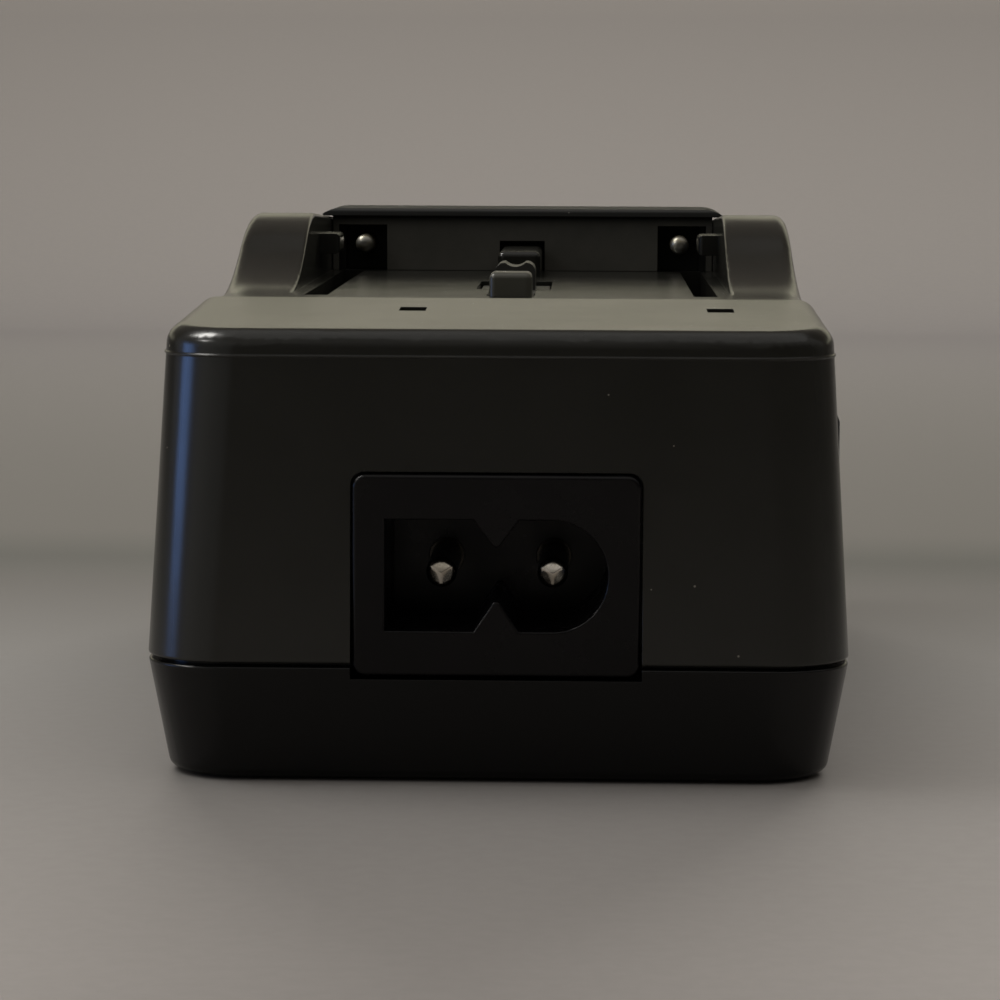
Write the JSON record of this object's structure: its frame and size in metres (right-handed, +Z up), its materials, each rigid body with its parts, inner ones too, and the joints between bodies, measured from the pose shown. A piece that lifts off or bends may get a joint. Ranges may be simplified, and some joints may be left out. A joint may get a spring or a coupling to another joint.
{
  "type": "camera battery charger",
  "caption": "Table-top charger with a slide-on battery bay between two raised ears, sprung catch, two contacts in windows and a two-pin mains inlet in the front wall.",
  "frame": {"origin": "centre of the footprint, on the table under the feet", "axes": "+X to the right of the mains inlet, +Y from the inlet to the battery contacts, +Z up"},
  "size_m": [0.0566, 0.106, 0.0421],
  "materials": {
    "casing_plastic": "satin",
    "plate_plastic": "satin",
    "dark_plastic": "satin",
    "inlet_plastic": "satin",
    "catch_plastic": "satin",
    "grip_rubber": "matte",
    "foot_rubber": "matte",
    "smoked_window": "polished",
    "lamp_resin": "clear",
    "label_film": "matte",
    "nickel_pin": "plated",
    "gold_contact": "plated",
    "screw_steel": "zinc plated",
    "spring_steel": "drawn wire",
    "circuit_board": "laminate",
    "lead_insulation": "satin",
    "fuse_glass": "glazed",
    "varistor_resin": "dipped",
    "capacitor_box": "moulded",
    "ferrite": "sintered",
    "copper_wire": "enamelled",
    "package_epoxy": "moulded",
    "capacitor_sleeve": "shrunk sleeve",
    "bobbin_nylon": "moulded",
    "yellow_tape": "film",
    "sheet_aluminium": "cut sheet",
    "ceramic_disc": "dipped",
    "resistor_lacquer": "lacquer"
  },
  "bodies": {
    "charger": {"upper_casing": "casing_plastic", "lower_casing": "casing_plastic", "battery_plate": "plate_plastic", "terminal_housing": "dark_plastic", "contact_pins": "gold_contact", "catch_spring": "spring_steel", "catch_retainer": "dark_plastic", "inlet_housing": "inlet_plastic", "inlet_pins": "nickel_pin", "grip_left": "grip_rubber", "grip_right": "grip_rubber", "indicator_windows": "smoked_window", "indicator_board": "circuit_board", "indicator_lamps": "lamp_resin", "feet": "foot_rubber", "rating_plate": "label_film", "casing_screws": "screw_steel", "plate_screws": "screw_steel", "housing_screws": "screw_steel", "retainer_screws": "screw_steel", "indicator_screws": "screw_steel", "board_screws": "screw_steel", "inlet_leads": "lead_insulation", "contact_leads": "lead_insulation", "lamp_leads": "lead_insulation", "main_board": "circuit_board", "fuse": "fuse_glass", "varistor": "varistor_resin", "suppression_capacitor": "capacitor_box", "choke_core": "ferrite", "choke_windings": "copper_wire", "bridge_rectifier": "package_epoxy", "main_capacitor": "capacitor_sleeve", "transformer_core": "ferrite", "transformer_bobbin": "bobbin_nylon", "transformer_winding": "yellow_tape", "heat_sink": "sheet_aluminium", "switching_transistor": "package_epoxy", "output_diode": "package_epoxy", "output_capacitors": "capacitor_sleeve", "disc_capacitor": "ceramic_disc", "optocoupler": "package_epoxy", "control_chips": "package_epoxy", "resistors": "resistor_lacquer"},
    "catch": {"catch": "catch_plastic"}
  },
  "joints": [
    {"name": "catch_press", "type": "slide", "parent": "charger", "child": "catch", "axis": [0, 0, -1], "range_m": [0, 0.0022], "stiffness_N_per_m": 600, "springref_m": -0.002, "deforming": ["catch_spring"]}
  ]
}
